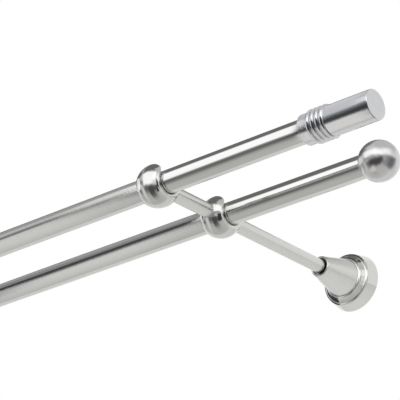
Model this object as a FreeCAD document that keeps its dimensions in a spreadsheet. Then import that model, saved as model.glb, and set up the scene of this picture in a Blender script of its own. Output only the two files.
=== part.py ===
import FreeCAD, Part
import math
import os
import re
import Sketcher

# Double curtain pole on two turned wall brackets, in millimetres.
# X runs along the poles, Y points into the wall, Z is up. The origin is the
# centre of the right-hand wall plate's back face, which lies on the wall.

# Driving dimensions: word, value, meaning
SIZES = [
    ("pole_diameter", 16.0, "outside of both poles"),
    ("pole_wall", 1.0, "wall of the pole tube"),
    ("pole_length", 1200.0, "each pole, end to end"),
    ("bracket_span", 936.0, "between the two brackets"),
    ("wall_distance", 150.0, "wall to the rear pole's axis"),
    ("pole_spacing", 64.0, "rear pole's axis to the front pole's axis"),
    ("pole_clearance", 0.2, "round the pole in rings and finials"),
    ("ring_diameter", 29.2, "ball-shaped pole holder, open at the top"),
    ("ring_width", 19.2, "between the ring's two flat faces"),
    ("ring_edge_round", 3.0, "from the ball to the flat faces"),
    ("ring_slot_round", 1.0, "edge of the slot that the pole is laid in"),
    ("ring_slot_tilt", 10.0, "degrees, of that slot from upright towards the wall"),
    ("ring_screw_angle", 45.0, "degrees, of the ring's clamp screw below the arm"),
    ("rod_diameter", 10.0, "arm rods"),
    ("stud_diameter", 6.0, "threaded studs inside the arm"),
    ("stud_reach", 10.0, "stud held in a rod's end"),
    ("stud_tip_gap", 0.5, "from a stud's tip to the pole"),
    ("stud_chamfer", 0.6, "ends of the studs"),
    ("thread_clearance", 0.05, "round a stud or a grub screw"),
    ("tapping_depth", 11.5, "threaded hole in a rod's end"),
    ("ring_grub_diameter", 4.0, "clamp screw in a ring"),
    ("ring_grub_key", 2.0, "across the flats of its hexagon socket"),
    ("finial_grub_diameter", 3.0, "clamp screw in a finial"),
    ("finial_grub_key", 1.5, "across the flats of its hexagon socket"),
    ("grub_tip_gap", 0.05, "from a clamp screw's tip to the pole"),
    ("grub_sink", 0.35, "clamp screw's head below the surface"),
    ("grub_chamfer", 0.3, "ends of the clamp screws"),
    ("key_depth_share", 0.5, "hexagon socket's depth by its screw's length"),
    ("plate_diameter", 36.0, "disc of the wall plate"),
    ("plate_thickness", 3.0, "disc of the wall plate"),
    ("hub_diameter", 14.0, "boss in the middle of the wall plate"),
    ("hub_height", 11.5, "boss above the wall"),
    ("screw_circle", 25.0, "pitch circle of the wall screws"),
    ("screw_count", 3, "wall screw holes"),
    ("screw_hole", 4.5, "wall screw hole"),
    ("screw_head", 8.4, "countersink of a wall screw"),
    ("countersink_angle", 90.0, "degrees, of a wall screw's head"),
    ("plate_floor", 1.2, "left under the plate's threaded hole"),
    ("stud_floor_gap", 0.3, "from the arm's long stud to that floor"),
    ("rose_diameter", 42.4, "rose where it meets the wall"),
    ("rose_drum_height", 8.6, "tapered side of the rose"),
    ("rose_drum_front", 38.8, "diameter at the front of that side"),
    ("rose_step_height", 10.5, "where the small step starts"),
    ("rose_step_back", 35.0, "diameter where the small step starts"),
    ("rose_step_front", 32.0, "diameter where the small step ends"),
    ("rose_step_end", 12.7, "where the small step ends"),
    ("rose_height", 14.3, "front face of the rose"),
    ("rose_front", 27.8, "diameter of the rose's front face"),
    ("rose_bulge", 1.06, "radius of the rounded steps by their width"),
    ("rose_cavity", 36.8, "diameter of the hollow round the wall plate"),
    ("rose_cavity_depth", 7.0, "depth of that hollow"),
    ("rose_pocket", 29.0, "diameter of the deeper hollow"),
    ("spigot_diameter", 10.0, "spigot that centres the cone in the rose"),
    ("spigot_length", 2.3, "of the same"),
    ("spigot_clearance", 0.1, "round the spigot"),
    ("cone_height", 41.4, "cone's mouth above the wall"),
    ("cone_mouth", 15.2, "outside of the cone's mouth"),
    ("cone_recess", 12.2, "recess round the rod in the mouth"),
    ("cone_recess_depth", 8.0, "to the seat of the rod"),
    ("cone_rim_share", 0.56, "rim radius by the mouth's wall"),
    ("finial_diameter", 20.0, "barrel of the ribbed finial"),
    ("finial_length", 52.8, "ribbed finial, end to end"),
    ("finial_neck", 6.7, "plain neck before the ribs"),
    ("finial_grip", 10.8, "pole inside the ribbed finial"),
    ("finial_edge", 0.4, "chamfer of the finial's edges"),
    ("rib_count", 4, "ribs of the ribbed finial"),
    ("rib_width", 3.0, "one rib"),
    ("rib_gap", 0.42, "groove between two ribs"),
    ("rib_height", 1.2, "rib proud of the barrel"),
    ("rib_root", 0.5, "rib's foot inside the barrel"),
    ("neck_screw_place", 3.4, "clamp screw from the neck's open end"),
    ("ball_diameter", 27.4, "ball finial"),
    ("ball_grip", 12.7, "pole inside the ball finial"),
    ("ball_screw_place", 5.2, "clamp screw from the ball's open end"),
]

SHEET = "Sizes"
WORDS = re.compile(r"[a-z]+(?:_[a-z]+)+")

# Sizes worked out from the driving ones, as formulas on their words
POLE_R = "(pole_diameter / 2)"
BORE_R = "(pole_diameter / 2 + pole_clearance)"
ROD_R = "(rod_diameter / 2)"
STUD_R = "(stud_diameter / 2)"
TAP_R = "(stud_diameter / 2 + thread_clearance)"
RING_R = "(ring_diameter / 2)"
RING_FLAT = "sqrt(ring_diameter ^ 2 - rod_diameter ^ 2) / 2"
RING_FACE_X = "(ring_width / 2 - ring_edge_round)"
RING_FACE_R = f"sqrt(({RING_R} - ring_edge_round) ^ 2 - {RING_FACE_X} ^ 2)"
FRONT_AXIS = "(wall_distance + pole_spacing)"
ROD_SEAT = "(cone_height - cone_recess_depth)"
BALL_CENTRE = "(sqrt(ball_diameter ^ 2 - (pole_diameter + 2 * pole_clearance) ^ 2) / 2)"
POLE_END = "((pole_length - bracket_span) / 2)"

TO_THE_ROOM = FreeCAD.Rotation(FreeCAD.Vector(0, 0, 1), -90)
TOWARDS_WALL = FreeCAD.Rotation(FreeCAD.Vector(0, 0, 1), 90)
UPWARDS = FreeCAD.Rotation(FreeCAD.Vector(0, 1, 0), -90)
TURNED_ROUND = FreeCAD.Rotation(FreeCAD.Vector(0, 0, 1), 180)
ALONG_POLE = FreeCAD.Rotation()


def make_sheet(doc):
    sheet = doc.addObject("Spreadsheet::Sheet", SHEET)
    for row, (word, number, meaning) in enumerate(SIZES, start=1):
        sheet.set(f"A{row}", meaning)
        sheet.set(f"B{row}", str(number))
        sheet.setAlias(f"B{row}", word)
    doc.recompute()
    return sheet


def bound(formula):
    return WORDS.sub(lambda found: f"{SHEET}.{found.group(0)}", formula)


class Maker:
    """Makes the bodies of the document and remembers them by name."""

    def __init__(self, doc, sheet):
        self.doc = doc
        self.sheet = sheet
        self.bodies = []

    def value(self, formula):
        return float(self.sheet.evalExpression(formula))

    def body(self, name, rotation, x="0", y="0"):
        body = self.doc.addObject("PartDesign::Body", name)
        body.Label = name
        body.Placement = FreeCAD.Placement(FreeCAD.Vector(), rotation)
        for letter, formula in (("x", x), ("y", y)):
            if formula != "0":
                body.setExpression(f"Placement.Base.{letter}", bound(formula))
        self.bodies.append(body)
        return body

    def origin_feature(self, body, role):
        return next(part for part in body.Origin.OriginFeatures if part.Role == role)

    def sketch(self, body, name, role, lift="0", turn=None):
        """Sketch on an origin plane, lifted off it or turned: (axis, degrees as a formula)."""
        sketch = body.newObject("Sketcher::SketchObject", name)
        sketch.AttachmentSupport = (self.origin_feature(body, role), [""])
        sketch.MapMode = "FlatFace"
        if turn is not None:
            rotation = FreeCAD.Rotation(turn[0], self.value(turn[1]))
            sketch.AttachmentOffset = FreeCAD.Placement(FreeCAD.Vector(), rotation)
            sketch.setExpression("AttachmentOffset.Rotation.Angle", bound(turn[1]))
        if lift != "0":
            sketch.setExpression("AttachmentOffset.Base.z", bound(lift))
        return sketch

    def hold(self, sketch, kind, geometry, end, formula):
        index = sketch.addConstraint(
            Sketcher.Constraint(kind, -1, 1, geometry, end, self.value(formula)))
        sketch.setExpression(f"Constraints[{index}]", bound(formula))

    def place_point(self, sketch, geometry, end, x, y):
        for kind, formula, axis in (("DistanceX", x, -2), ("DistanceY", y, -1)):
            if formula == "0":
                sketch.addConstraint(Sketcher.Constraint("PointOnObject", geometry, end, axis))
            else:
                self.hold(sketch, kind, geometry, end, formula)

    def outline(self, sketch, corners):
        """Closed outline. A corner is (x, y) or (x, y, arc radius, side of its centre)."""
        points = [FreeCAD.Vector(self.value(c[0]), self.value(c[1]), 0) for c in corners]
        ends = []
        for here, corner in enumerate(corners):
            start = points[here]
            stop = points[(here + 1) % len(corners)]
            if len(corner) == 2:
                sketch.addGeometry(Part.LineSegment(start, stop), False)
                ends.append((1, 2))
            else:
                radius = self.value(corner[2])
                sketch.addGeometry(arc_between(start, stop, radius, corner[3]), False)
                ends.append((1, 2) if corner[3] > 0 else (2, 1))
        for here, corner in enumerate(corners):
            after = (here + 1) % len(corners)
            sketch.addConstraint(Sketcher.Constraint(
                "Coincident", here, ends[here][1], after, ends[after][0]))
            self.place_point(sketch, here, ends[here][0], corner[0], corner[1])
            if len(corner) == 4:
                index = sketch.addConstraint(
                    Sketcher.Constraint("Radius", here, self.value(corner[2])))
                sketch.setExpression(f"Constraints[{index}]", bound(corner[2]))

    def circle(self, sketch, x, y, radius):
        centre = FreeCAD.Vector(self.value(x), self.value(y), 0)
        normal = FreeCAD.Vector(0, 0, 1)
        index = sketch.addGeometry(Part.Circle(centre, normal, self.value(radius)), False)
        self.place_point(sketch, index, 3, x, y)
        held = sketch.addConstraint(Sketcher.Constraint("Radius", index, self.value(radius)))
        sketch.setExpression(f"Constraints[{held}]", bound(radius))

    def turned(self, body, corners, name="Turned"):
        """Half section in local X and Y, turned about local X."""
        sketch = self.sketch(body, f"{name}Section", "XY_Plane")
        self.outline(sketch, corners)
        turned = body.newObject("PartDesign::Revolution", name)
        turned.Profile = sketch
        turned.ReferenceAxis = (sketch, ["H_Axis"])
        turned.Angle = 360
        return turned

    def drilled(self, body, name, role, x, radius, lift="0", up=True, depth=None, turn=None):
        """Round hole across the piece, from the plane that lift and turn set."""
        sketch = self.sketch(body, f"{name}Circle", role, lift, turn)
        self.circle(sketch, x, "0", radius)
        pocket = body.newObject("PartDesign::Pocket", name)
        pocket.Profile = sketch
        pocket.Reversed = up
        if depth is None:
            pocket.Type = "ThroughAll"
        else:
            pocket.Type = "Length"
            pocket.setExpression("Length", bound(depth))
        return pocket


def arc_between(start, stop, radius, side):
    """Arc from start to stop with its centre to the left (1) or the right (-1)."""
    chord = stop - start
    middle = (start + stop) * 0.5
    left = FreeCAD.Vector(-chord.y, chord.x, 0).normalize()
    rise = math.sqrt(max(radius ** 2 - (chord.Length / 2) ** 2, 0.0))
    centre = middle + left * (side * rise)
    circle = Part.Circle(centre, FreeCAD.Vector(0, 0, 1), radius)
    first, last = (start, stop) if side > 0 else (stop, start)
    angles = [math.atan2(p.y - centre.y, p.x - centre.x) for p in (first, last)]
    return Part.ArcOfCircle(circle, angles[0], angles[1])


# Poles and their finials

def make_pole(make, name, axis_distance):
    body = make.body(name, ALONG_POLE, x=f"-bracket_span - {POLE_END}", y=f"-{axis_distance}")
    sketch = make.sketch(body, "TubeSection", "YZ_Plane")
    make.circle(sketch, "0", "0", POLE_R)
    make.circle(sketch, "0", "0", "pole_diameter / 2 - pole_wall")
    tube = body.newObject("PartDesign::Pad", "Tube")
    tube.Profile = sketch
    tube.setExpression("Length", bound("pole_length"))


def make_ribbed_finial(make, name, rotation, x, axis_distance):
    body = make.body(name, rotation, x=x, y=f"-{axis_distance}")
    barrel_r = "finial_diameter / 2"
    make.turned(body, [
        ("0", BORE_R),
        ("0", f"{barrel_r} - finial_edge"),
        ("finial_edge", barrel_r),
        ("finial_length - finial_edge", barrel_r),
        ("finial_length", f"{barrel_r} - finial_edge"),
        ("finial_length", "0"),
        ("finial_grip", "0"),
        ("finial_grip", BORE_R),
    ], "Barrel")
    rib_radius = "(rib_width ^ 2 / 4 + rib_height ^ 2) / (2 * rib_height)"
    rib = make.turned(body, [
        ("finial_neck", f"{barrel_r} - rib_root"),
        ("finial_neck", barrel_r, rib_radius, -1),
        ("finial_neck + rib_width", barrel_r),
        ("finial_neck + rib_width", f"{barrel_r} - rib_root"),
    ], "Rib")
    make.doc.recompute()
    ribs = body.newObject("PartDesign::LinearPattern", "Ribs")
    ribs.Originals = [rib]
    ribs.Direction = (make.origin_feature(body, "X_Axis"), [""])
    ribs.setExpression("Length", bound("(rib_width + rib_gap) * (rib_count - 1)"))
    ribs.setExpression("Occurrences", bound("rib_count"))
    body.Tip = ribs
    make.doc.recompute()
    make.drilled(body, "ClampHole", "XY_Plane", "neck_screw_place",
                 "finial_grub_diameter / 2 + thread_clearance")


def make_ball_finial(make, name, rotation, x, axis_distance):
    body = make.body(name, rotation, x=x, y=f"-{axis_distance}")
    make.turned(body, [
        ("0", BORE_R, "ball_diameter / 2", -1),
        (f"{BALL_CENTRE} + ball_diameter / 2", "0"),
        ("ball_grip", "0"),
        ("ball_grip", BORE_R),
    ], "Ball")
    make.drilled(body, "ClampHole", "XY_Plane", "ball_screw_place",
                 "finial_grub_diameter / 2 + thread_clearance")


def make_grub(make, name, x, axis_distance, diameter, key, surface, rotation=UPWARDS):
    """Clamp screw with a hexagon socket, standing out from the pole to the surface."""
    body = make.body(name, rotation, x=x, y=f"-{axis_distance}")
    tip = f"{POLE_R} + grub_tip_gap"
    head = f"{surface} - grub_sink"
    radius = f"{diameter} / 2"
    make.turned(body, [
        (tip, "0"),
        (tip, f"{radius} - grub_chamfer"),
        (f"{tip} + grub_chamfer", radius),
        (f"{head} - grub_chamfer", radius),
        (head, f"{radius} - grub_chamfer"),
        (head, "0"),
    ], "Screw")
    depth = f"(({head}) - ({tip})) * key_depth_share"
    socket = body.newObject("PartDesign::SubtractivePrism", "KeySocket")
    socket.AttachmentSupport = (make.origin_feature(body, "YZ_Plane"), [""])
    socket.MapMode = "FlatFace"
    socket.Polygon = 6
    socket.setExpression("Circumradius", bound(f"{key} / sqrt(3)"))
    socket.setExpression("Height", bound(depth))
    socket.setExpression("AttachmentOffset.Base.z", bound(f"{head} - {depth}"))


# Brackets: everything here is turned about the arm, with local X the distance from the wall

def make_wall_plate(make, name, x):
    body = make.body(name, TO_THE_ROOM, x=x)
    plate = make.turned(body, [
        ("0", "0"),
        ("0", "plate_diameter / 2"),
        ("plate_thickness", "plate_diameter / 2"),
        ("plate_thickness", "hub_diameter / 2"),
        ("hub_height", "hub_diameter / 2"),
        ("hub_height", TAP_R),
        ("plate_floor", TAP_R),
        ("plate_floor", "0"),
    ], "Plate")
    make.doc.recompute()
    sketch = make.sketch(body, "ScrewPlace", "YZ_Plane", "plate_thickness")
    make.circle(sketch, "0", "screw_circle / 2", "screw_hole / 2")
    hole = body.newObject("PartDesign::Hole", "ScrewHole")
    hole.Profile = sketch
    hole.BaseFeature = plate
    make.doc.recompute()
    hole.DepthType = "ThroughAll"
    hole.ThreadType = "None"
    hole.HoleCutType = "Countersink"
    hole.HoleCutCustomValues = True
    hole.setExpression("Diameter", bound("screw_hole"))
    hole.setExpression("HoleCutDiameter", bound("screw_head"))
    hole.setExpression("HoleCutCountersinkAngle", bound("countersink_angle"))
    make.doc.recompute()
    holes = body.newObject("PartDesign::PolarPattern", "ScrewHoles")
    holes.Originals = [hole]
    holes.Axis = (make.origin_feature(body, "X_Axis"), [""])
    holes.Angle = 360
    holes.setExpression("Occurrences", bound("screw_count"))
    body.Tip = holes


def make_rose(make, name, x):
    body = make.body(name, TO_THE_ROOM, x=x)
    big_round = "(rose_drum_front - rose_step_back) / 2 * rose_bulge"
    small_round = "(rose_step_front - rose_front) / 2 * rose_bulge"
    hole = "spigot_diameter / 2 + spigot_clearance"
    make.turned(body, [
        ("0", "rose_cavity / 2"),
        ("0", "rose_diameter / 2"),
        ("rose_drum_height", "rose_drum_front / 2", big_round, -1),
        ("rose_step_height", "rose_step_back / 2"),
        ("rose_step_end", "rose_step_front / 2", small_round, -1),
        ("rose_height", "rose_front / 2"),
        ("rose_height", hole),
        ("hub_height", hole),
        ("hub_height", "rose_pocket / 2"),
        ("rose_cavity_depth", "rose_pocket / 2"),
        ("rose_cavity_depth", "rose_cavity / 2"),
    ], "Rose")


def make_socket_cone(make, name, x):
    body = make.body(name, TO_THE_ROOM, x=x)
    rim = "(cone_mouth - cone_recess) / 2 * cone_rim_share"
    rim_start = f"cone_height - {rim}"
    foot = "rose_height - spigot_length"
    make.turned(body, [
        (foot, TAP_R),
        (foot, "spigot_diameter / 2"),
        ("rose_height", "spigot_diameter / 2"),
        ("rose_height", "rose_front / 2"),
        (rim_start, "cone_mouth / 2", rim, -1),
        (rim_start, "cone_recess / 2"),
        (ROD_SEAT, "cone_recess / 2"),
        (ROD_SEAT, TAP_R),
    ], "Cone")


def make_rod(make, name, x, start, stop):
    body = make.body(name, TO_THE_ROOM, x=x)
    make.turned(body, [
        (start, TAP_R),
        (start, ROD_R),
        (stop, ROD_R),
        (stop, TAP_R),
        (f"{stop} - tapping_depth", TAP_R),
        (f"{stop} - tapping_depth", "0"),
        (f"{start} + tapping_depth", "0"),
        (f"{start} + tapping_depth", TAP_R),
    ], "Rod")


def make_stud(make, name, x, start, stop):
    body = make.body(name, TO_THE_ROOM, x=x)
    make.turned(body, [
        (start, "0"),
        (start, f"{STUD_R} - stud_chamfer"),
        (f"{start} + stud_chamfer", STUD_R),
        (f"{stop} - stud_chamfer", STUD_R),
        (stop, f"{STUD_R} - stud_chamfer"),
        (stop, "0"),
    ], "Stud")


def make_ring(make, name, x, axis_distance, arms):
    """Ball with two flat faces and an open slot that the pole lies in, with seats for its arms.

    An arm is 1 towards the wall and -1 towards the room."""
    body = make.body(name, ALONG_POLE, x=f"{x} - ring_width / 2", y=f"-{axis_distance}")
    meet = f"{RING_R} / ({RING_R} - ring_edge_round)"
    meet_x = f"{RING_FACE_X} * {meet}"
    meet_r = f"{RING_FACE_R} * {meet}"
    make.turned(body, [
        ("0", BORE_R),
        ("0", RING_FACE_R, "ring_edge_round", -1),
        (f"ring_width / 2 - {meet_x}", meet_r, RING_R, -1),
        (f"ring_width / 2 + {meet_x}", meet_r, "ring_edge_round", -1),
        ("ring_width", RING_FACE_R),
        ("ring_width", BORE_R),
    ], "Ball")
    slot = make.sketch(body, "SlotSection", "YZ_Plane",
                       turn=(FreeCAD.Vector(0, 0, -1), "ring_slot_tilt"))
    make.outline(slot, [
        (f"-{BORE_R}", "0"), (BORE_R, "0"), (BORE_R, RING_R), (f"-{BORE_R}", RING_R)])
    cut = body.newObject("PartDesign::Pocket", "Slot")
    cut.Profile = slot
    cut.Reversed = True
    cut.Type = "ThroughAll"
    make.doc.recompute()
    soften_slot(make, body)
    for arm in arms:
        side = "Wall" if arm > 0 else "Room"
        lift = f"-({RING_FLAT})" if arm > 0 else RING_FLAT
        make.drilled(body, f"{side}Seat", "XZ_Plane", "ring_width / 2", ROD_R,
                     lift, up=arm < 0, depth=RING_R)
        make.drilled(body, f"{side}Thread", "XZ_Plane", "ring_width / 2", TAP_R,
                     lift, up=arm > 0, depth=RING_FLAT)
    make.drilled(body, "ClampHole", "XY_Plane", "ring_width / 2",
                 "ring_grub_diameter / 2 + thread_clearance",
                 turn=(FreeCAD.Vector(-1, 0, 0), "90 + ring_screw_angle"))


def is_sharp(shape, edge):
    """True where the two faces at an edge meet at a corner."""
    middle = edge.valueAt((edge.FirstParameter + edge.LastParameter) / 2)
    normals = []
    for face in shape.ancestorsOfType(edge, Part.Face):
        place = face.Surface.parameter(middle)
        normals.append(face.normalAt(*place))
    return len(normals) == 2 and normals[0].getAngle(normals[1]) > math.radians(15)


def soften_slot(make, body):
    """Rounds the slot's whole edge, along both flat faces and over both horns."""
    solid = body.Tip
    names = [f"Edge{number}" for number, edge in enumerate(solid.Shape.Edges, start=1)
             if is_sharp(solid.Shape, edge)]
    fillet = body.newObject("PartDesign::Fillet", "SlotEdge")
    fillet.Base = (solid, names)
    fillet.setExpression("Radius", bound("ring_slot_round"))
    make.doc.recompute()


def make_bracket(make, side, x):
    make_wall_plate(make, f"{side}_wall_plate", x)
    make_rose(make, f"{side}_rose", x)
    make_socket_cone(make, f"{side}_socket_cone", x)
    make_stud(make, f"{side}_wall_stud", x, "plate_floor + stud_floor_gap",
              f"{ROD_SEAT} + stud_reach")

    flat = f"({RING_FLAT})"
    rear_back = f"(wall_distance - {flat})"
    rear_front = f"(wall_distance + {flat})"
    front_back = f"({FRONT_AXIS} - {flat})"
    pole_side = f"{POLE_R} + stud_tip_gap"
    make_rod(make, f"{side}_rear_arm", x, ROD_SEAT, rear_back)
    make_ring(make, f"{side}_rear_ring", x, "wall_distance", (1, -1))
    make_stud(make, f"{side}_rear_ring_back_stud", x,
              f"{rear_back} - stud_reach", f"wall_distance - ({pole_side})")
    make_stud(make, f"{side}_rear_ring_front_stud", x,
              f"wall_distance + {pole_side}", f"{rear_front} + stud_reach")
    make_rod(make, f"{side}_front_arm", x, rear_front, front_back)
    make_ring(make, f"{side}_front_ring", x, FRONT_AXIS, (1,))
    make_stud(make, f"{side}_front_ring_stud", x,
              f"{front_back} - stud_reach", f"{FRONT_AXIS} - ({pole_side})")
    down_back = FreeCAD.Rotation(FreeCAD.Vector(-1, 0, 0), make.value("ring_screw_angle"))
    for place, axis_distance in (("rear", "wall_distance"), ("front", FRONT_AXIS)):
        make_grub(make, f"{side}_{place}_ring_screw", x, axis_distance,
                  "ring_grub_diameter", "ring_grub_key", RING_R, down_back * TOWARDS_WALL)


def make_finials(make, side, sign, rotation, x):
    """Both finials of one side and their clamp screws. sign is 1 on the right."""
    def outward(distance):
        return f"{x} + ({distance})" if sign > 0 else f"{x} - ({distance})"

    neck_end = f"{POLE_END} - finial_grip"
    ball_end = f"{POLE_END} - ball_grip"
    make_ribbed_finial(make, f"{side}_ribbed_finial", rotation, outward(neck_end), FRONT_AXIS)
    make_ball_finial(make, f"{side}_ball_finial", rotation, outward(ball_end), "wall_distance")
    make_grub(make, f"{side}_ribbed_finial_screw", outward(f"{neck_end} + neck_screw_place"),
              FRONT_AXIS, "finial_grub_diameter", "finial_grub_key", "finial_diameter / 2")
    ball_surface = (f"sqrt((ball_diameter / 2) ^ 2 - ({BALL_CENTRE} - ball_screw_place"
                    " + finial_grub_diameter / 2) ^ 2)")
    make_grub(make, f"{side}_ball_finial_screw", outward(f"{ball_end} + ball_screw_place"),
              "wall_distance", "finial_grub_diameter", "finial_grub_key", ball_surface)


def check(doc, bodies):
    for thing in doc.Objects:
        wrong = {"Invalid", "Error"} & set(thing.State)
        if wrong:
            raise RuntimeError(f"{thing.Name} in {thing.getParentGeoFeatureGroup()}: {wrong}")
    for body in bodies:
        if body.Shape.isNull() or not body.Shape.isValid():
            raise RuntimeError(f"{body.Label} has no valid shape")
        if len(body.Shape.Solids) != 1:
            raise RuntimeError(f"{body.Label} has {len(body.Shape.Solids)} solids")


def main():
    doc = FreeCAD.newDocument("DoubleCurtainPole")
    make = Maker(doc, make_sheet(doc))
    make_pole(make, "front_pole", FRONT_AXIS)
    make_pole(make, "rear_pole", "wall_distance")
    for side, sign, rotation, x in (("right", 1, ALONG_POLE, "0"),
                                    ("left", -1, TURNED_ROUND, "-bracket_span")):
        make_bracket(make, side, x)
        make_finials(make, side, sign, rotation, x)
    doc.recompute()
    check(doc, make.bodies)
    os.makedirs("parts", exist_ok=True)
    for body in make.bodies:
        body.Shape.exportStep(f"parts/{body.Label}.step")
        print(f"{body.Label}: {body.Shape.Volume:.1f} mm3")


main()
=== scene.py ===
import math

import bpy
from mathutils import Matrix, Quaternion, Vector

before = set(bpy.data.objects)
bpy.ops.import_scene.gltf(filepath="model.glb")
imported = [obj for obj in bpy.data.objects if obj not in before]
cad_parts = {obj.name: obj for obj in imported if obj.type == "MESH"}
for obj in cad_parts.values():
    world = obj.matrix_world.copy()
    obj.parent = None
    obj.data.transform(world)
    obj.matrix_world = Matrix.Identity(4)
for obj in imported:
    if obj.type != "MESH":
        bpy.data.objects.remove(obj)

for spareName in ("Cube", "Light", "Camera"):
    if spareName in bpy.data.objects:
        bpy.data.objects.remove(bpy.data.objects[spareName])
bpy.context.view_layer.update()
scene = bpy.context.scene
print("frame loaded,", len(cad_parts), "nodes")


# camera

view = {
    "place": (0.8122, -1.1373, -0.5897),
    "towardsCamera": (0.58229, -0.69219, -0.42630),
    "focalLength": 188.98,
    "sensorWidth": 36.0,
    "rollDegrees": -0.241,
    "clipRange": (0.01, 100),
}

bpy.ops.object.select_all(action="DESELECT")
bpy.ops.object.camera_add(location=view["place"])
camera = bpy.context.object
camera.name = "camera"
camera.data.lens = view["focalLength"]
camera.data.sensor_width = view["sensorWidth"]
camera.data.clip_start, camera.data.clip_end = view["clipRange"]
camera.rotation_mode = "QUATERNION"
level = Vector(view["towardsCamera"]).to_track_quat("Z", "Y")
camera.rotation_quaternion = level @ Quaternion((0, 0, 1), math.radians(view["rollDegrees"]))
scene.camera = camera
print("camera placed")


# picking faces

def chooseFaces(piece, wanted):
    # leaves the piece in edit mode with only the wanted faces selected
    bpy.ops.object.mode_set(mode="EDIT")
    bpy.ops.mesh.select_mode(type="FACE")
    bpy.ops.mesh.select_all(action="DESELECT")
    bpy.ops.object.mode_set(mode="OBJECT")
    for face in piece.data.polygons:
        face.select = wanted(face)
    bpy.ops.object.mode_set(mode="EDIT")


# shader maths

class Wire:
    # an output socket that can stand in a sum
    def __init__(self, paint, socket):
        self.paint = paint
        self.socket = socket

    def __add__(self, other):
        return self.paint.maths("ADD", self, other)

    def __sub__(self, other):
        return self.paint.maths("SUBTRACT", self, other)

    def __rsub__(self, other):
        return self.paint.maths("SUBTRACT", other, self)

    def __mul__(self, other):
        return self.paint.maths("MULTIPLY", self, other)

    def __truediv__(self, other):
        return self.paint.maths("DIVIDE", self, other)

    def __rtruediv__(self, other):
        return self.paint.maths("DIVIDE", other, self)

    def __pow__(self, other):
        return self.paint.maths("POWER", self, other)

    __radd__ = __add__
    __rmul__ = __mul__


class Paint:
    # one node tree, of a material or of the world, with a method for each kind of sum
    def __init__(self, tree):
        self.tree = tree
        self.tree.nodes.clear()
        self.column = 0

    def node(self, kind, settings, values, output=0):
        made = self.tree.nodes.new(kind)
        made.location = (self.column * 170, -220 * (self.column % 3))
        self.column += 1
        for setting, value in settings.items():
            if setting == "stops":
                self.setStops(made.color_ramp, value)
            else:
                setattr(made, setting, value)
        for socketName, value in values.items():
            target = made.inputs[socketName]
            if isinstance(value, Wire):
                self.tree.links.new(value.socket, target)
            else:
                target.default_value = value
        return Wire(self, made.outputs[output] if made.outputs else None)

    def setStops(self, ramp, stops):
        ramp.elements[0].position = stops[0][0]
        ramp.elements[1].position = stops[-1][0]
        for place, shade in stops[1:-1]:
            ramp.elements.new(place)
        for element, (place, shade) in zip(ramp.elements, stops):
            element.color = (shade, shade, shade, 1.0)

    def maths(self, operation, first, second=0.0):
        return self.node("ShaderNodeMath", {"operation": operation}, {0: first, 1: second})

    def between(self, value, low, high, newLow, newHigh):
        return self.node(
            "ShaderNodeMapRange", {"clamp": True, "interpolation_type": "SMOOTHSTEP"},
            {"Value": value, "From Min": low, "From Max": high, "To Min": newLow, "To Max": newHigh})

    def place(self):
        return self.node("ShaderNodeTexCoord", {}, {}, "Object")

    def parts(self, vector):
        split = self.node("ShaderNodeSeparateXYZ", {}, {"Vector": vector}).socket.node
        return [Wire(self, split.outputs[axis]) for axis in ("X", "Y", "Z")]

    def joined(self, x, y, z):
        return self.node("ShaderNodeCombineXYZ", {}, {"X": x, "Y": y, "Z": z})

    def noise(self, vector, scale, detail, rough, extra=None):
        settings = {"noise_dimensions": "3D" if extra is None else "4D"}
        values = {"Vector": vector, "Scale": scale, "Detail": detail, "Roughness": rough}
        if extra is not None:
            values["W"] = extra
        return self.node("ShaderNodeTexNoise", settings, values)

    def mixed(self, share, first, second):
        return self.node(
            "ShaderNodeMix", {"data_type": "RGBA"}, {0: share, 6: first, 7: second}, 2)


def newMaterial(name):
    material = bpy.data.materials.new(name)
    material.use_nodes = True
    return material, Paint(material.node_tree)


def tone(colour, lighter):
    return tuple(min(1.0, c * lighter) for c in colour) + (1.0,)


# finishes of the metal

# what all metals share: how fine and broad lines are mixed, and where noise counts as dark and as light
lining = {
    "fineShare": 0.6, "fineDetail": 3.0, "fineRough": 0.6,
    "broadShare": 0.4, "broadDetail": 1.0, "broadRough": 0.5,
    "lineRange": (0.3, 0.7),
    "cloudDetail": 3.0, "cloudRough": 0.55, "cloudRange": (0.35, 0.75),
    "middle": 0.5,
    "wobble": 0.01,
    "smallest": 0.00001,
    "bumpDistance": 0.00001,
}


def drawnPlace(paint, look):
    # lines along the pole
    x, y, z = paint.parts(paint.place())
    return paint.joined(x * look["stretch"], y, z), None


def turnedPlace(paint, look):
    # lines round the axis that the piece was turned on
    x, y, z = paint.parts(paint.place())
    if look["axis"] == "x":
        along, across, up = x, y - look["centre"], z
    else:
        along, across, up = y, x - look["centre"], z
    radius = (across * across + up * up) ** 0.5 + lining["smallest"]
    wobble = look["stretch"] * lining["wobble"]
    vector = paint.joined(along, across / radius * wobble, up / radius * wobble)
    return vector, radius


def lightAndDark(paint, share, colour, contrast):
    return paint.mixed(share, tone(colour, 1 - contrast), tone(colour, 1 + contrast))


def brushedFace(paint, look, colour):
    # the end face is brushed straight across
    x, y, z = paint.parts(paint.place())
    slant = math.radians(look["faceSlant"])
    across = y * math.cos(slant) + z * math.sin(slant)
    along = z * math.cos(slant) - y * math.sin(slant)
    vector = paint.joined(0, across, along * look["faceStretch"])
    straight = paint.noise(vector, look["faceLines"], look["faceDetail"], look["faceRough"])
    facing = paint.parts(paint.node("ShaderNodeTexCoord", {}, {}, "Normal"))[0]
    flat, flattest = look["faceFlat"]
    endFace = paint.between(facing * facing, flat, flattest, 0.0, 1.0)
    darkest, palest = look["faceRange"]
    share = paint.between(straight, darkest, palest, 0.0, 1.0)
    faceColour = lightAndDark(paint, share, look["faceColour"], look["faceContrast"])
    return paint.mixed(endFace, colour, faceColour)


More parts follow.
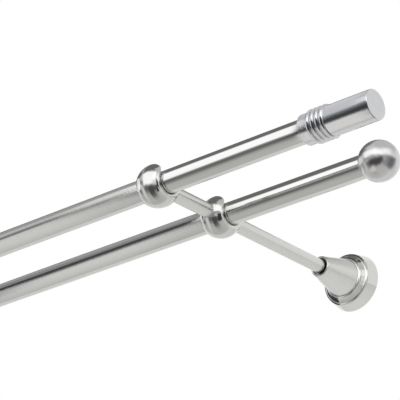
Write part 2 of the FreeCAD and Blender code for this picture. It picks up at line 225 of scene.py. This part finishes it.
def satinPart(paint, look):
    # between the brackets the pole is satin, with short marks across it
    x, y, z = paint.parts(paint.place())
    near, far = look["satinEnd"]
    left, right = look["satinStart"]
    satin = paint.between(x, near, far, 1.0, 0.0) * paint.between(x, left, right, 0.0, 1.0)
    vector = paint.joined(x + z * look["grainLean"], y * look["grainLength"], z * look["grainLength"])
    marks = paint.noise(vector, look["grain"], look["grainDetail"], look["grainEdge"])
    return satin, marks


def metal(name, look):
    material, paint = newMaterial(name)
    maker = drawnPlace if look["lines"] == "drawn" else turnedPlace
    vector, radius = maker(paint, look)
    extra = None if radius is None else radius * look["fine"]
    fineLines = paint.noise(vector, look["fine"], lining["fineDetail"], lining["fineRough"], extra)
    extra = None if radius is None else radius * look["broad"]
    broadLines = paint.noise(vector, look["broad"], lining["broadDetail"], lining["broadRough"], extra)
    clouds = paint.noise(paint.place(), look["clouds"], lining["cloudDetail"], lining["cloudRough"])

    darkest, palest = lining["lineRange"]
    streaks = fineLines * lining["fineShare"] + broadLines * lining["broadShare"]
    shade = paint.between(streaks, darkest, palest, 0.0, 1.0)
    lined = lightAndDark(paint, shade, look["colour"], look["contrast"])
    clear, cloudy = lining["cloudRange"]
    film = paint.between(clouds, clear, cloudy, 0.0, look["film"])
    colour = paint.mixed(film, lined, tone(look["filmColour"], 1))
    if "faceLines" in look:
        colour = brushedFace(paint, look, colour)

    lineRoughness = (streaks - lining["middle"]) * look["roughSpread"]
    cloudRoughness = (clouds - lining["middle"]) * look["smudge"]
    roughness = look["roughness"] + lineRoughness + cloudRoughness
    height = fineLines * look["fineDepth"] + broadLines * look["broadDepth"]
    if "grain" in look:
        satin, marks = satinPart(paint, look)
        shade = paint.between(marks, darkest, palest, 0.0, 1.0)
        grained = lightAndDark(paint, shade, look["satinColour"], look["grainContrast"])
        colour = paint.mixed(satin, colour, grained)
        markRoughness = (marks - lining["middle"]) * look["grainRough"]
        roughness = roughness + satin * (look["satinRoughness"] + markRoughness)
        height = height + satin * marks * look["grainDepth"]
    bump = paint.node("ShaderNodeBump", {}, {
        "Strength": 1.0,
        "Distance": lining["bumpDistance"],
        "Height": height,
    })
    shader = paint.node("ShaderNodeBsdfPrincipled", {}, {
        "Base Color": colour,
        "Metallic": 1.0,
        "Roughness": roughness,
        "Normal": bump,
    })
    paint.node("ShaderNodeOutputMaterial", {}, {"Surface": shader})
    return material


steelColour = (0.64, 0.638, 0.618)

finishes = {
    "poles": {
        "lines": "drawn", "stretch": 0.01, "fine": 2600.0, "broad": 420.0, "clouds": 22.0,
        "colour": steelColour, "contrast": 0.05, "film": 0.10, "filmColour": (0.58, 0.57, 0.54),
        "roughness": 0.11, "roughSpread": 0.10, "smudge": 0.05,
        "fineDepth": 1.0, "broadDepth": 1.2,
        "grain": 1300.0, "grainLean": 0.6, "grainLength": 0.12, "grainDetail": 3.0, "grainEdge": 0.65,
        "grainContrast": 0.035, "grainRough": 0.10, "grainDepth": 3.0,
        "satinColour": (0.64, 0.64, 0.624), "satinRoughness": 0.02,
        "satinStart": (-0.940, -0.932), "satinEnd": (-0.004, 0.004),
    },
    "rings": {
        "lines": "turned", "axis": "x", "stretch": 0.2, "fine": 1800.0, "broad": 500.0, "clouds": 70.0,
        "colour": (0.62, 0.618, 0.60), "contrast": 0.02, "film": 0.10, "filmColour": (0.59, 0.58, 0.56),
        "roughness": 0.13, "roughSpread": 0.04, "smudge": 0.05,
        "fineDepth": 0.2, "broadDepth": 0.3,
    },
    "arms": {
        "lines": "turned", "axis": "y", "stretch": 0.8, "fine": 2400.0, "broad": 500.0, "clouds": 40.0,
        "colour": steelColour, "contrast": 0.03, "film": 0.10, "filmColour": (0.62, 0.61, 0.58),
        "roughness": 0.26, "roughSpread": 0.10, "smudge": 0.06,
        "fineDepth": 0.7, "broadDepth": 0.5,
    },
    "cones": {
        "lines": "turned", "axis": "y", "stretch": 0.6, "fine": 2200.0, "broad": 600.0, "clouds": 60.0,
        "colour": steelColour, "contrast": 0.04, "film": 0.08, "filmColour": (0.62, 0.61, 0.58),
        "roughness": 0.22, "roughSpread": 0.12, "smudge": 0.06,
        "fineDepth": 1.4, "broadDepth": 0.8,
    },
    "roses": {
        "lines": "turned", "axis": "y", "stretch": 0.6, "fine": 2200.0, "broad": 600.0, "clouds": 60.0,
        "colour": steelColour, "contrast": 0.03, "film": 0.08, "filmColour": (0.62, 0.61, 0.58),
        "roughness": 0.08, "roughSpread": 0.06, "smudge": 0.04,
        "fineDepth": 0.3, "broadDepth": 0.3,
    },
    "balls": {
        "lines": "turned", "axis": "x", "stretch": 0.6, "fine": 2400.0, "broad": 700.0, "clouds": 60.0,
        "colour": (0.63, 0.625, 0.62), "contrast": 0.06, "film": 0.08, "filmColour": (0.60, 0.59, 0.58),
        "roughness": 0.24, "roughSpread": 0.12, "smudge": 0.06,
        "fineDepth": 1.4, "broadDepth": 0.8,
    },
    "ribbed": {
        "lines": "turned", "axis": "x", "stretch": 0.5, "fine": 2600.0, "broad": 800.0, "clouds": 60.0,
        "colour": (0.655, 0.66, 0.67), "contrast": 0.05, "film": 0.06, "filmColour": (0.64, 0.64, 0.64),
        "roughness": 0.08, "roughSpread": 0.08, "smudge": 0.04,
        "fineDepth": 2.6, "broadDepth": 1.2,
        "faceLines": 1500.0, "faceSlant": 35.0, "faceStretch": 0.04, "faceDetail": 2.0, "faceRough": 0.6,
        "faceFlat": (0.9, 0.99), "faceRange": (0.35, 0.65),
        "faceColour": (0.598, 0.603, 0.612), "faceContrast": 0.07,
    },
    "plates": {
        "lines": "turned", "axis": "y", "stretch": 0.5, "fine": 1800.0, "broad": 500.0, "clouds": 50.0,
        "colour": (0.60, 0.60, 0.58), "contrast": 0.05, "film": 0.15, "filmColour": (0.50, 0.49, 0.46),
        "roughness": 0.30, "roughSpread": 0.12, "smudge": 0.10,
        "fineDepth": 1.2, "broadDepth": 0.8,
    },
    "studs": {
        "lines": "turned", "axis": "y", "stretch": 0.5, "fine": 1500.0, "broad": 600.0, "clouds": 90.0,
        "colour": (0.55, 0.54, 0.50), "contrast": 0.05, "film": 0.2, "filmColour": (0.42, 0.40, 0.35),
        "roughness": 0.34, "roughSpread": 0.12, "smudge": 0.10,
        "fineDepth": 1.2, "broadDepth": 1.0,
    },
    "screws": {
        "lines": "drawn", "stretch": 1.0, "fine": 2500.0, "broad": 900.0, "clouds": 200.0,
        "colour": (0.50, 0.50, 0.49), "contrast": 0.05, "film": 0.2, "filmColour": (0.38, 0.37, 0.35),
        "roughness": 0.30, "roughSpread": 0.10, "smudge": 0.10,
        "fineDepth": 0.8, "broadDepth": 0.8,
    },
}

# where the axes are that the pieces were turned on
spots = {"frontAxis": -0.214, "rearAxis": -0.150, "rightBracket": 0.0, "leftBracket": -0.936}


def dress(nodeName, material):
    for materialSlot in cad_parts[nodeName].material_slots:
        materialSlot.material = material


def finish(name, kind, centre=None):
    look = dict(finishes[kind])
    if centre is not None:
        look["centre"] = spots[centre]
    return metal(name, look)


poleSteel = finish("drawn_pole_steel", "poles")
for poleName in ("front_pole", "rear_pole"):
    dress(poleName, poleSteel)

frontRingSteel = finish("polished_front_ring_steel", "rings", "frontAxis")
rearRingSteel = finish("polished_rear_ring_steel", "rings", "rearAxis")
ribbedAluminium = finish("turned_aluminium", "ribbed", "frontAxis")
ballSteel = finish("satin_ball_steel", "balls", "rearAxis")
screwSteel = finish("screw_steel_finish", "screws")
for side in ("right", "left"):
    bracket = side + "Bracket"
    armSteel = finish(side + "_satin_arm_steel", "arms", bracket)
    coneSteel = finish(side + "_brushed_cone_steel", "cones", bracket)
    roseSteel = finish(side + "_rose_steel_finish", "roses", bracket)
    plateSteel = finish(side + "_plate_steel_finish", "plates", bracket)
    studSteel = finish(side + "_stud_steel_finish", "studs", bracket)
    dress(side + "_front_ring", frontRingSteel)
    dress(side + "_rear_ring", rearRingSteel)
    dress(side + "_ribbed_finial", ribbedAluminium)
    dress(side + "_ball_finial", ballSteel)
    for part in ("rear_arm", "front_arm"):
        dress(side + "_" + part, armSteel)
    dress(side + "_socket_cone", coneSteel)
    dress(side + "_rose", roseSteel)
    dress(side + "_wall_plate", plateSteel)
    for part in ("wall_stud", "rear_ring_back_stud", "rear_ring_front_stud", "front_ring_stud"):
        dress(side + "_" + part, studSteel)
    for part in ("rear_ring_screw", "front_ring_screw", "ribbed_finial_screw", "ball_finial_screw"):
        dress(side + "_" + part, screwSteel)
print("metal finishes made")


# floor, light tent, lamps and world

stage = {
    "floorHeight": -1.3,
    "floorSize": 14.0,
    "floorColour": (0.86, 0.86, 0.85, 1.0),
    "floorRoughness": 0.7,
    "background": 1.0,
    "ambient": 0.9,
    "lampPower": 40.0,
    "lampSize": 1.6,
    "lampPlace": (-1.2, -1.9, 1.7),
    "lampAim": (0, -0.15, 0),
    "worldColour": (1.0, 1.0, 1.0, 1.0),
}

# colours of the tent's cloth and boards: a little blue or warm by how dark or bright they are
tints = {
    "plain": (1.0, 1.0, 1.0, 1.0),
    "pale": (1.0, 1.0, 0.99, 1.0),
    "bright": (0.995, 1.002, 1.03, 1.0),
    "paleRange": (0.1, 0.7),
    "brightRange": (0.95, 1.3),
}
tentFacets = 120

# the light tent: cloth in pieces of tubes along the poles, each with its middle line and radius, its reach
# along the poles, the part of the circle in degrees, 0 to the room and 90 up, and the cloth's brightness
# round that circle, with the places along the poles where one set of tones goes over into the next.
# A cloth or board with "fades" shows only in what is nearer than that
sheets = {
    "wideSheet": {
        "axis": -0.182, "radius": 0.38, "reach": (-1.9, 0.7), "turn": (-125, 62),
        "coolTint": (0.95, 1.0, 1.08, 1.0), "coolEnd": (-0.35, -0.28),
        "tones": (
            ((-125, 0.68), (-107, 0.62), (-92, 0.65), (-64, 0.61), (-50, 0.5), (-40, 0.33), (-30, 0.19),
             (-16, 0.19), (-9, 0.45), (0, 1.5), (49, 1.5), (58, 0.35), (62, 0.22)),
            ((-125, 0.65), (-60, 0.58), (-45, 0.45), (-34, 0.34), (-18, 0.34), (-6, 0.6), (3, 1.1), (10, 1.3),
             (40, 1.3), (50, 1.2), (58, 0.9), (62, 0.6)),
            ((-125, 0.76), (-121, 0.64), (-115, 0.70), (-79, 0.81), (-55, 0.87), (-31, 0.9), (2, 0.86),
             (7, 0.7), (13, 0.26), (26, 0.24), (34, 0.55), (44, 0.72), (62, 0.66)),
            ((-125, 0.7), (-118, 0.58), (-105, 0.66), (-72, 0.72), (-48, 0.79), (-24, 0.73), (-12, 0.66),
             (-4, 0.42), (4, 0.28), (11, 0.42), (20, 0.8), (28, 1.0), (50, 1.02), (62, 0.8)),
            ((-125, 0.66), (-116, 0.58), (-100, 0.63), (-71, 0.68), (-45, 0.72), (-16, 0.66),
             (-7, 0.48), (3, 0.24), (12, 0.36), (20, 0.62), (28, 0.84), (49, 0.96), (62, 0.88)),
            ((-125, 0.68), (-107, 0.62), (-92, 0.65), (-64, 0.61), (-50, 0.5), (-40, 0.33), (-30, 0.19),
             (-16, 0.19), (-9, 0.45), (0, 1.5), (49, 1.5), (58, 0.35), (62, 0.22)),
            ((-125, 0.68), (-107, 0.61), (-92, 0.58), (-78, 0.45), (-66, 0.2), (-50, 0.1), (-30, 0.09),
             (-19, 0.12), (-13, 0.45), (-5, 1.5), (45, 1.5), (56, 0.35), (62, 0.22)),
            ((-125, 0.7), (-60, 0.62), (-50, 0.5), (-42, 0.14), (-24, 0.14), (-14, 0.8), (4, 1.2),
             (14, 1.7), (45, 1.6), (56, 0.9), (62, 0.7)),
        ),
        "changes": ((-0.95, -0.8), (-0.59, -0.52), (-0.365, -0.335), (-0.32, -0.29), (-0.278, -0.266),
                    (-0.125, -0.085), (0.02, 0.14)),
    },
    "finialSheet": {
        "axis": -0.214, "radius": 0.09, "reach": (0.0665, 0.128), "turn": (-110, 110),
        "fades": (0.112, 0.122),
        "coolTint": (0.985, 1.0, 1.035, 1.0), "warmTint": (1.03, 1.0, 0.95, 1.0), "tintRange": (0.8, 0.88),
        "tones": (
            ((-110, 0.88), (-80, 0.94), (-60, 0.9), (-45, 0.98), (-39, 0.6), (-34, 0.09), (-16, 0.06),
             (-4, 0.14), (8, 0.36), (18, 0.74), (40, 0.76), (70, 0.8), (110, 0.85)),
        ),
        "changes": (),
    },
}


def onlyInReflections(piece):
    piece.visible_camera = False
    piece.visible_diffuse = False
    piece.visible_shadow = False


def turnOf(point, axis):
    return math.degrees(math.atan2(point.z, axis - point.y))


def clothTone(paint, share, turn, tones, brightest):
    first, last = turn
    stops = [((angle - first) / (last - first), value / brightest) for angle, value in tones]
    return paint.node("ShaderNodeValToRGB", {"stops": stops}, {"Fac": share})


def fading(paint, look, shader):
    if "fades" not in look:
        return shader
    near, far = look["fades"]
    away = paint.node("ShaderNodeLightPath", {}, {}, "Ray Length")
    clear = paint.node("ShaderNodeBsdfTransparent", {}, {})
    return paint.node(
        "ShaderNodeMixShader", {}, {0: paint.between(away, near, far, 0.0, 1.0), 1: shader, 2: clear})


def clothGlow(paint, shine, look, x):
    # light of a cloth whose brightness changes over it
    cool = look.get("coolTint", tints["plain"])
    if "coolEnd" in look:
        start, end = look["coolEnd"]
        cool = paint.mixed(paint.between(x, start, end, 0.0, 1.0), cool, tints["plain"])
    darkest, palest = look.get("tintRange", tints["paleRange"])
    colour = paint.mixed(
        paint.between(shine, darkest, palest, 0.0, 1.0), cool, look.get("warmTint", tints["pale"]))
    bright, brightest = tints["brightRange"]
    colour = paint.mixed(paint.between(shine, bright, brightest, 0.0, 1.0), colour, tints["bright"])
    lit = paint.node("ShaderNodeVectorMath", {"operation": "SCALE"}, {0: colour, "Scale": shine})
    return fading(paint, look, paint.node("ShaderNodeEmission", {}, {"Color": lit, "Strength": 1.0}))


def eased(value, low, high):
    share = min(1.0, max(0.0, (value - low) / (high - low)))
    return share * share * (3 - 2 * share)


def blended(share, first, second):
    return tuple(a + (b - a) * share for a, b in zip(first, second))


def boardGlow(paint, look):
    # light of a board, the same all over
    glow = look["glow"]
    cool = look.get("coolTint", tints["plain"])
    colour = blended(eased(glow, *tints["paleRange"]), cool, tints["pale"])
    colour = blended(eased(glow, *tints["brightRange"]), colour, tints["bright"])
    return fading(paint, look, paint.node("ShaderNodeEmission", {}, {"Color": colour, "Strength": glow}))


def tentSheet(name, sheet):
    low, high = sheet["reach"]
    bpy.ops.object.select_all(action="DESELECT")
    bpy.ops.mesh.primitive_cylinder_add(
        vertices=tentFacets, radius=sheet["radius"], depth=high - low, end_fill_type="NOTHING",
        location=((low + high) / 2, sheet["axis"], 0), rotation=(0, math.radians(90), 0))
    piece = bpy.context.object
    piece.name = name
    bpy.ops.object.transform_apply(location=True, rotation=True, scale=True)
    first, last = sheet["turn"]
    chooseFaces(piece, lambda face: not first < turnOf(face.center, sheet["axis"]) < last)
    bpy.ops.mesh.delete(type="FACE")
    bpy.ops.object.mode_set(mode="OBJECT")
    material, paint = newMaterial(name + "Cloth")
    x, y, z = paint.parts(paint.place())
    turn = paint.maths("ARCTAN2", z, sheet["axis"] - y) * (180 / math.pi)
    share = (turn - first) / (last - first)
    brightest = max(value for tones in sheet["tones"] for angle, value in tones)
    glow = clothTone(paint, share, sheet["turn"], sheet["tones"][0], brightest)
    for change, tones in zip(sheet["changes"], sheet["tones"][1:]):
        following = clothTone(paint, share, sheet["turn"], tones, brightest)
        glow = paint.mixed(paint.between(x, change[0], change[1], 0.0, 1.0), glow, following)
    shine = clothGlow(paint, glow * brightest, sheet, x)
    paint.node("ShaderNodeOutputMaterial", {}, {"Surface": shine})
    piece.data.materials.append(material)
    onlyInReflections(piece)


for sheetName, sheet in sheets.items():
    tentSheet(sheetName, sheet)

# curved screens to the right of the balls, standing round a middle line, with the part of the circle in
# degrees, 0 to the room and 90 to the right, and the brightness round it
screens = {
    "darkScreen": {"middle": (0.13, -0.15), "radius": 0.3, "reach": (-0.6, 0.05), "turn": (62, 135),
                   "fades": (0.385, 0.42), "coolTint": (1.04, 1.0, 1.1, 1.0),
                   "tones": ((62, 0.25), (72, 0.4), (85, 0.28), (100, 0.14), (118, 0.16), (135, 0.45))},
    "paleScreen": {"middle": (0.13, -0.15), "radius": 0.3, "reach": (0.08, 0.3), "turn": (55, 120),
                   "tones": ((55, 1.5), (90, 1.4), (105, 1.0), (120, 0.9))},
}


def roundScreen(name, look):
    low, high = look["reach"]
    middleX, middleY = look["middle"]
    bpy.ops.object.select_all(action="DESELECT")
    bpy.ops.mesh.primitive_cylinder_add(
        vertices=tentFacets, radius=look["radius"], depth=high - low, end_fill_type="NOTHING",
        location=(middleX, middleY, (low + high) / 2))
    piece = bpy.context.object
    piece.name = name
    bpy.ops.object.transform_apply(location=True, rotation=True, scale=True)
    first, last = look["turn"]

    def screenTurn(point):
        return math.degrees(math.atan2(point.x - middleX, middleY - point.y))

    chooseFaces(piece, lambda face: not first < screenTurn(face.center) < last)
    bpy.ops.mesh.delete(type="FACE")
    bpy.ops.object.mode_set(mode="OBJECT")
    material, paint = newMaterial(name + "Cloth")
    x, y, z = paint.parts(paint.place())
    turn = paint.maths("ARCTAN2", x - middleX, middleY - y) * (180 / math.pi)
    share = (turn - first) / (last - first)
    brightest = max(value for angle, value in look["tones"])
    glow = clothTone(paint, share, look["turn"], look["tones"], brightest)
    shine = clothGlow(paint, glow * brightest, look, x)
    paint.node("ShaderNodeOutputMaterial", {}, {"Surface": shine})
    piece.data.materials.append(material)
    onlyInReflections(piece)


for screenName, screenLook in screens.items():
    roundScreen(screenName, screenLook)

# flat boards round the object, dark and pale: above it, beside the rose, in front of the balls, and
# between and above the poles
boards = {
    "farCeiling": {"place": (-1.225, -0.076, 0.33), "towards": (-1.225, -0.076, 0), "size": (1.35, 0.592),
                   "glow": 1.1},
    "leftCeiling": {"place": (-0.4, -0.076, 0.33), "towards": (-0.4, -0.076, 0), "size": (0.3, 0.592),
                    "glow": 0.46, "fades": (0.46, 0.475)},
    "darkCeiling": {"place": (-0.4, -0.076, 0.34), "towards": (-0.4, -0.076, 0), "size": (0.3, 0.592),
                    "glow": 0.14},
    "middleCeiling": {"place": (-0.115, -0.076, 0.33), "towards": (-0.115, -0.076, 0), "size": (0.27, 0.592),
                      "glow": 0.2},
    "rightCeiling": {"place": (0.32, -0.076, 0.33), "towards": (0.32, -0.076, 0), "size": (0.6, 0.592),
                     "glow": 0.7},
    "roseCeiling": {"place": (-0.0025, -0.035, 0.1), "towards": (-0.0025, -0.035, 0),
                    "size": (0.105, 0.08), "glow": 0.1, "fades": (0.125, 0.14)},
    "roseBoard": {"place": (-0.07, 0.0025, -0.005), "towards": (0, 0.0025, -0.005), "size": (0.075, 0.1),
                  "glow": 0.06, "fades": (0.074, 0.082)},
    "ballBoard": {"place": (0.267, -0.31, -0.075), "towards": (0.267, 0, -0.075), "size": (0.407, 0.21),
                  "glow": 0.05, "fades": (0.27, 0.31), "coolTint": (1.04, 1.0, 1.1, 1.0)},
    "betweenPoles": {"place": (-0.17, -0.20, 0.023), "towards": (-0.17, 0, 0.023), "size": (0.24, 0.03),
                     "glow": 0.08, "coolTint": (0.95, 1.0, 1.08, 1.0)},
    "abovePoles": {"place": (-0.17, -0.20, 0.064), "towards": (-0.17, 0, 0.064), "size": (0.24, 0.052),
                   "glow": 0.34, "coolTint": (0.95, 1.0, 1.08, 1.0)},
}

for boardName, board in boards.items():
    bpy.ops.object.select_all(action="DESELECT")
    bpy.ops.mesh.primitive_plane_add(size=1, location=board["place"])
    piece = bpy.context.object
    piece.name = boardName
    piece.rotation_mode = "QUATERNION"
    facing = Vector(board["towards"]) - Vector(board["place"])
    piece.rotation_quaternion = facing.to_track_quat("Z", "Y")
    piece.scale = (board["size"][0], board["size"][1], 1)
    material, paint = newMaterial(boardName + "Face")
    shine = boardGlow(paint, board)
    paint.node("ShaderNodeOutputMaterial", {}, {"Surface": shine})
    piece.data.materials.append(material)
    onlyInReflections(piece)

bpy.ops.object.select_all(action="DESELECT")
bpy.ops.mesh.primitive_plane_add(size=stage["floorSize"], location=(0, 0, stage["floorHeight"]))
floor = bpy.context.object
floor.name = "floor"
bpy.ops.object.transform_apply(location=True, rotation=True, scale=True)
floorMaterial, paint = newMaterial("paleFloor")
floorShine = paint.node(
    "ShaderNodeBsdfPrincipled", {},
    {"Base Color": stage["floorColour"], "Roughness": stage["floorRoughness"]})
paint.node("ShaderNodeOutputMaterial", {}, {"Surface": floorShine})
floor.data.materials.append(floorMaterial)

bpy.ops.object.select_all(action="DESELECT")
bpy.ops.object.light_add(type="AREA", location=stage["lampPlace"])
lamp = bpy.context.object
lamp.name = "softLamp"
lamp.data.shape = "SQUARE"
lamp.data.size = stage["lampSize"]
lamp.data.energy = stage["lampPower"]
lamp.rotation_mode = "QUATERNION"
lampFacing = Vector(stage["lampPlace"]) - Vector(stage["lampAim"])
lamp.rotation_quaternion = lampFacing.to_track_quat("Z", "Y")
lamp.visible_glossy = False

world = bpy.data.worlds.new("studio")
scene.world = world
world.use_nodes = True
paint = Paint(world.node_tree)
ray = paint.node("ShaderNodeLightPath", {}, {}).socket.node
seen = [Wire(paint, ray.outputs[kind]) for kind in ("Is Camera Ray", "Is Glossy Ray", "Is Transmission Ray")]
anySeen = paint.maths("MINIMUM", seen[0] + seen[1] + seen[2], 1.0)
strength = anySeen * stage["background"] + (1 - anySeen) * stage["ambient"]
sky = paint.node("ShaderNodeBackground", {}, {"Color": stage["worldColour"], "Strength": strength})
paint.node("ShaderNodeOutputWorld", {}, {"Surface": sky})

scene.view_settings.view_transform = "Standard"
print("stage, lamps and world made")
